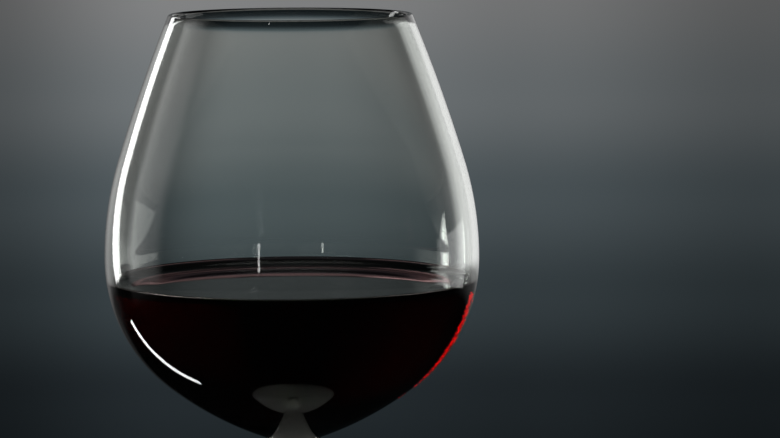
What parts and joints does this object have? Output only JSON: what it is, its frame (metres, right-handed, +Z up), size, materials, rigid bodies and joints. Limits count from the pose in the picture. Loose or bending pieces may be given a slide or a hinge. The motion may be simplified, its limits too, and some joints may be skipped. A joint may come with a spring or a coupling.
{
  "type": "glass of red wine",
  "caption": "Balloon-shaped stemmed drinking glass on a round foot, with red wine in the lower part of its bowl.",
  "frame": {"origin": "centre of the foot's flat underside, where the glass stands", "axes": "+Z up along the axis of the stem and bowl; the object is round, so +X and +Y are alike"},
  "size_m": [0.105, 0.105, 0.225],
  "materials": {
    "clear_glass": "clear soda-lime glass, fire-polished, with a faint green tint where it is seen edge on",
    "red_wine": "still liquid with a mirror-smooth surface, nearly black in the middle and deep red at its edges"
  },
  "bodies": {
    "root": {"glass": "clear_glass", "red_wine": "red_wine"}
  },
  "joints": []
}
